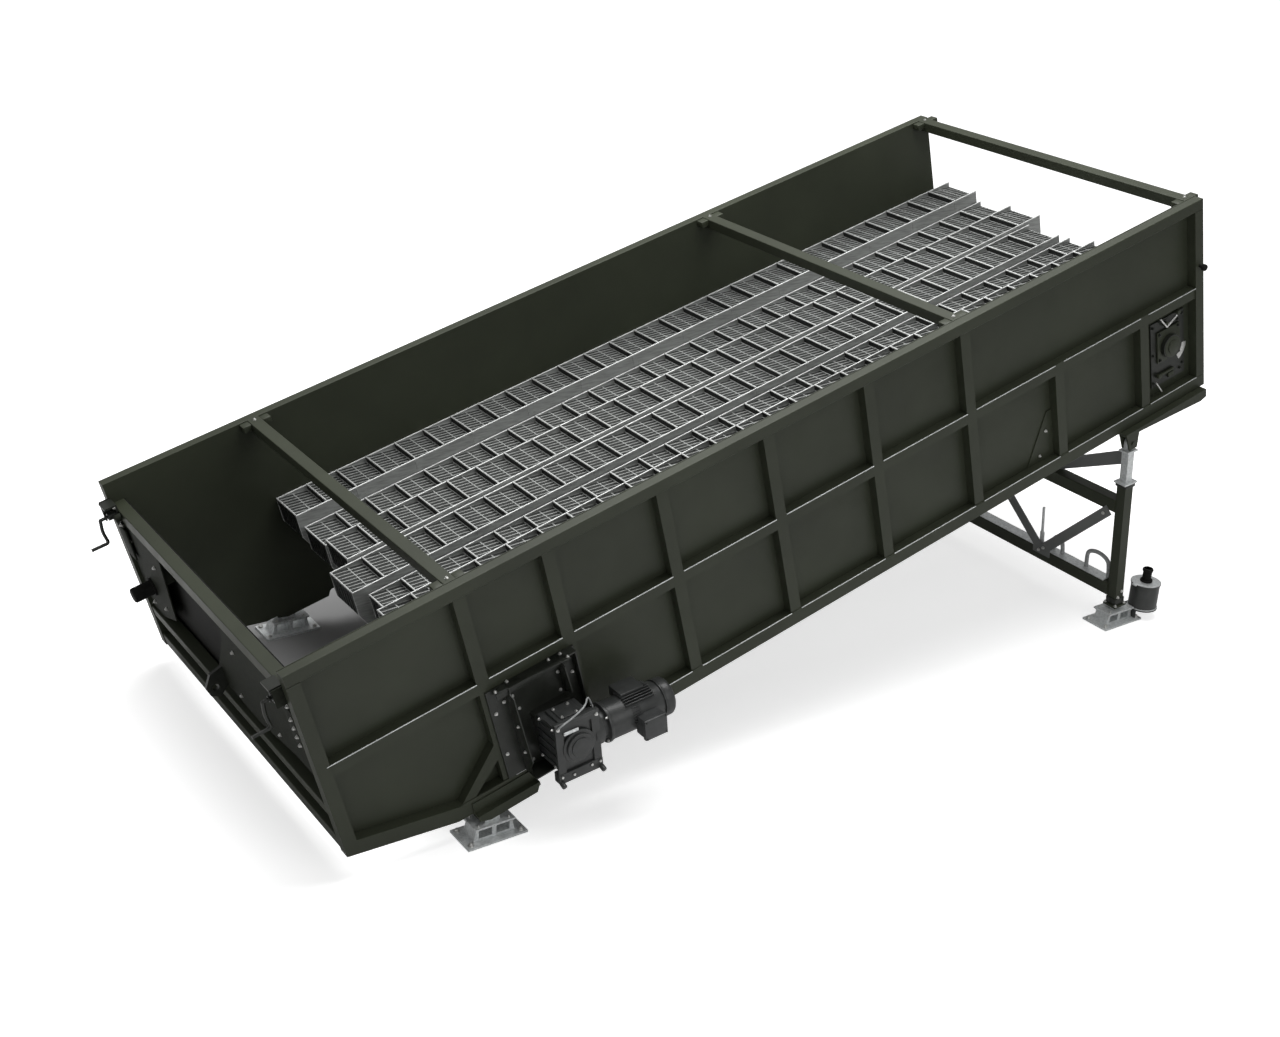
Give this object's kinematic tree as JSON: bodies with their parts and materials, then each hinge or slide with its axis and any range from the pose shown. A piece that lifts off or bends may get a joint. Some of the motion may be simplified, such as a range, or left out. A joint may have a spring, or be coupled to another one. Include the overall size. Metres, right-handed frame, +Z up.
{
  "type": "ballistic separator",
  "caption": "Tilted open-bottomed steel box on feet, with a floor of sawtooth paddles on two crankshafts that sorts waste by shape.",
  "frame": {"origin": "centre of the footprint at floor level", "axes": "+X along the machine towards its high end, +Y away from the drive side, +Z up"},
  "size_m": [7.2875, 3.379, 3.1957],
  "materials": {
    "green_paint": "satin",
    "grey_steel": "satin",
    "dark_steel": "satin",
    "galvanised": "matte",
    "drive_grey": "satin",
    "grey_box": "satin",
    "drum_paint": "satin",
    "black_rubber": "matte"
  },
  "bodies": {
    "frame": {"bottom_rails": "green_paint", "buffer": "black_rubber", "cable_tray": "galvanised", "crank_brackets": "green_paint", "drive_bracket": "green_paint", "drum": "drum_paint", "end_apron": "black_rubber", "end_gussets": "green_paint", "foot_channels": "green_paint", "frame_lever": "green_paint", "gearbox": "drive_grey", "high_bearings": "green_paint", "high_feet": "galvanised", "leg_clevises": "green_paint", "leg_inners": "galvanised", "leg_posts": "green_paint", "lifting_lug": "green_paint", "low_bearings": "green_paint", "low_cross_beams": "green_paint", "low_feet": "galvanised", "lower_cross_tube": "green_paint", "mid_rails": "green_paint", "motor": "drive_grey", "ribs_far": "green_paint", "ribs_near": "green_paint", "terminal_box": "grey_box", "top_cross_beams": "green_paint", "top_rails": "green_paint", "upper_braces": "green_paint", "upper_cross_tube": "green_paint", "v_braces": "green_paint", "wall_sheet_far": "green_paint", "wall_sheet_near": "green_paint"},
    "low_crank": {"low_crankshaft": "dark_steel"},
    "high_crank": {"high_crankshaft": "dark_steel"},
    "paddle_1": {"paddle_1": "grey_steel"},
    "paddle_2": {"paddle_2": "grey_steel"},
    "paddle_3": {"paddle_3": "grey_steel"},
    "paddle_4": {"paddle_4": "grey_steel"},
    "paddle_5": {"paddle_5": "grey_steel"},
    "paddle_6": {"paddle_6": "grey_steel"},
    "paddle_7": {"paddle_7": "grey_steel"},
    "paddle_8": {"paddle_8": "grey_steel"},
    "hand_crank_near": {"hand_crank_near": "green_paint"},
    "hand_crank_far": {"hand_crank_far": "green_paint"}
  },
  "joints": [
    {"name": "low_crank_turn", "type": "hinge", "parent": "frame", "child": "low_crank", "pos_m": [-1.88284, 0.1395, 0.6207], "axis": [0, 1, 0], "continuous": true},
    {"name": "high_crank_turn", "type": "hinge", "parent": "frame", "child": "high_crank", "pos_m": [3.21051, 0.1395, 2.12832], "axis": [0, 1, 0], "continuous": true},
    {"name": "paddle_1_pin", "type": "hinge", "parent": "low_crank", "child": "paddle_1", "pos_m": [-1.92299, -1.04612, 0.67804], "axis": [0, 1, 0], "continuous": true},
    {"name": "paddle_2_pin", "type": "hinge", "parent": "low_crank", "child": "paddle_2", "pos_m": [-1.90096, -0.70737, 0.55308], "axis": [0, 1, 0], "continuous": true},
    {"name": "paddle_3_pin", "type": "hinge", "parent": "low_crank", "child": "paddle_3", "pos_m": [-1.95046, -0.36862, 0.63881], "axis": [0, 1, 0], "continuous": true},
    {"name": "paddle_4_pin", "type": "hinge", "parent": "low_crank", "child": "paddle_4", "pos_m": [-1.84269, -0.02987, 0.56336], "axis": [0, 1, 0], "continuous": true},
    {"name": "paddle_5_pin", "type": "hinge", "parent": "low_crank", "child": "paddle_5", "pos_m": [-1.94628, 0.30888, 0.59111], "axis": [0, 1, 0], "continuous": true},
    {"name": "paddle_6_pin", "type": "hinge", "parent": "low_crank", "child": "paddle_6", "pos_m": [-1.8194, 0.64763, 0.65028], "axis": [0, 1, 0], "continuous": true},
    {"name": "paddle_7_pin", "type": "hinge", "parent": "low_crank", "child": "paddle_7", "pos_m": [-1.81523, 0.98638, 0.60258], "axis": [0, 1, 0], "continuous": true},
    {"name": "paddle_8_pin", "type": "hinge", "parent": "low_crank", "child": "paddle_8", "pos_m": [-1.86472, 1.32513, 0.68831], "axis": [0, 1, 0], "continuous": true},
    {"name": "hand_crank_near_turn", "type": "hinge", "parent": "frame", "child": "hand_crank_near", "pos_m": [-3.52612, -1.1455, 1.18978], "axis": [0.9659, 0, 0.2588], "continuous": true},
    {"name": "hand_crank_far_turn", "type": "hinge", "parent": "frame", "child": "hand_crank_far", "pos_m": [-3.52612, 1.4245, 1.18978], "axis": [0.9659, 0, 0.2588], "continuous": true}
  ],
  "couplings": [
    {"joint": "high_crank_turn", "follows": "low_crank_turn", "ratio": 1},
    {"joint": "paddle_1_pin", "follows": "low_crank_turn", "ratio": -1},
    {"joint": "paddle_2_pin", "follows": "low_crank_turn", "ratio": -1},
    {"joint": "paddle_3_pin", "follows": "low_crank_turn", "ratio": -1},
    {"joint": "paddle_4_pin", "follows": "low_crank_turn", "ratio": -1},
    {"joint": "paddle_5_pin", "follows": "low_crank_turn", "ratio": -1},
    {"joint": "paddle_6_pin", "follows": "low_crank_turn", "ratio": -1},
    {"joint": "paddle_7_pin", "follows": "low_crank_turn", "ratio": -1},
    {"joint": "paddle_8_pin", "follows": "low_crank_turn", "ratio": -1}
  ]
}
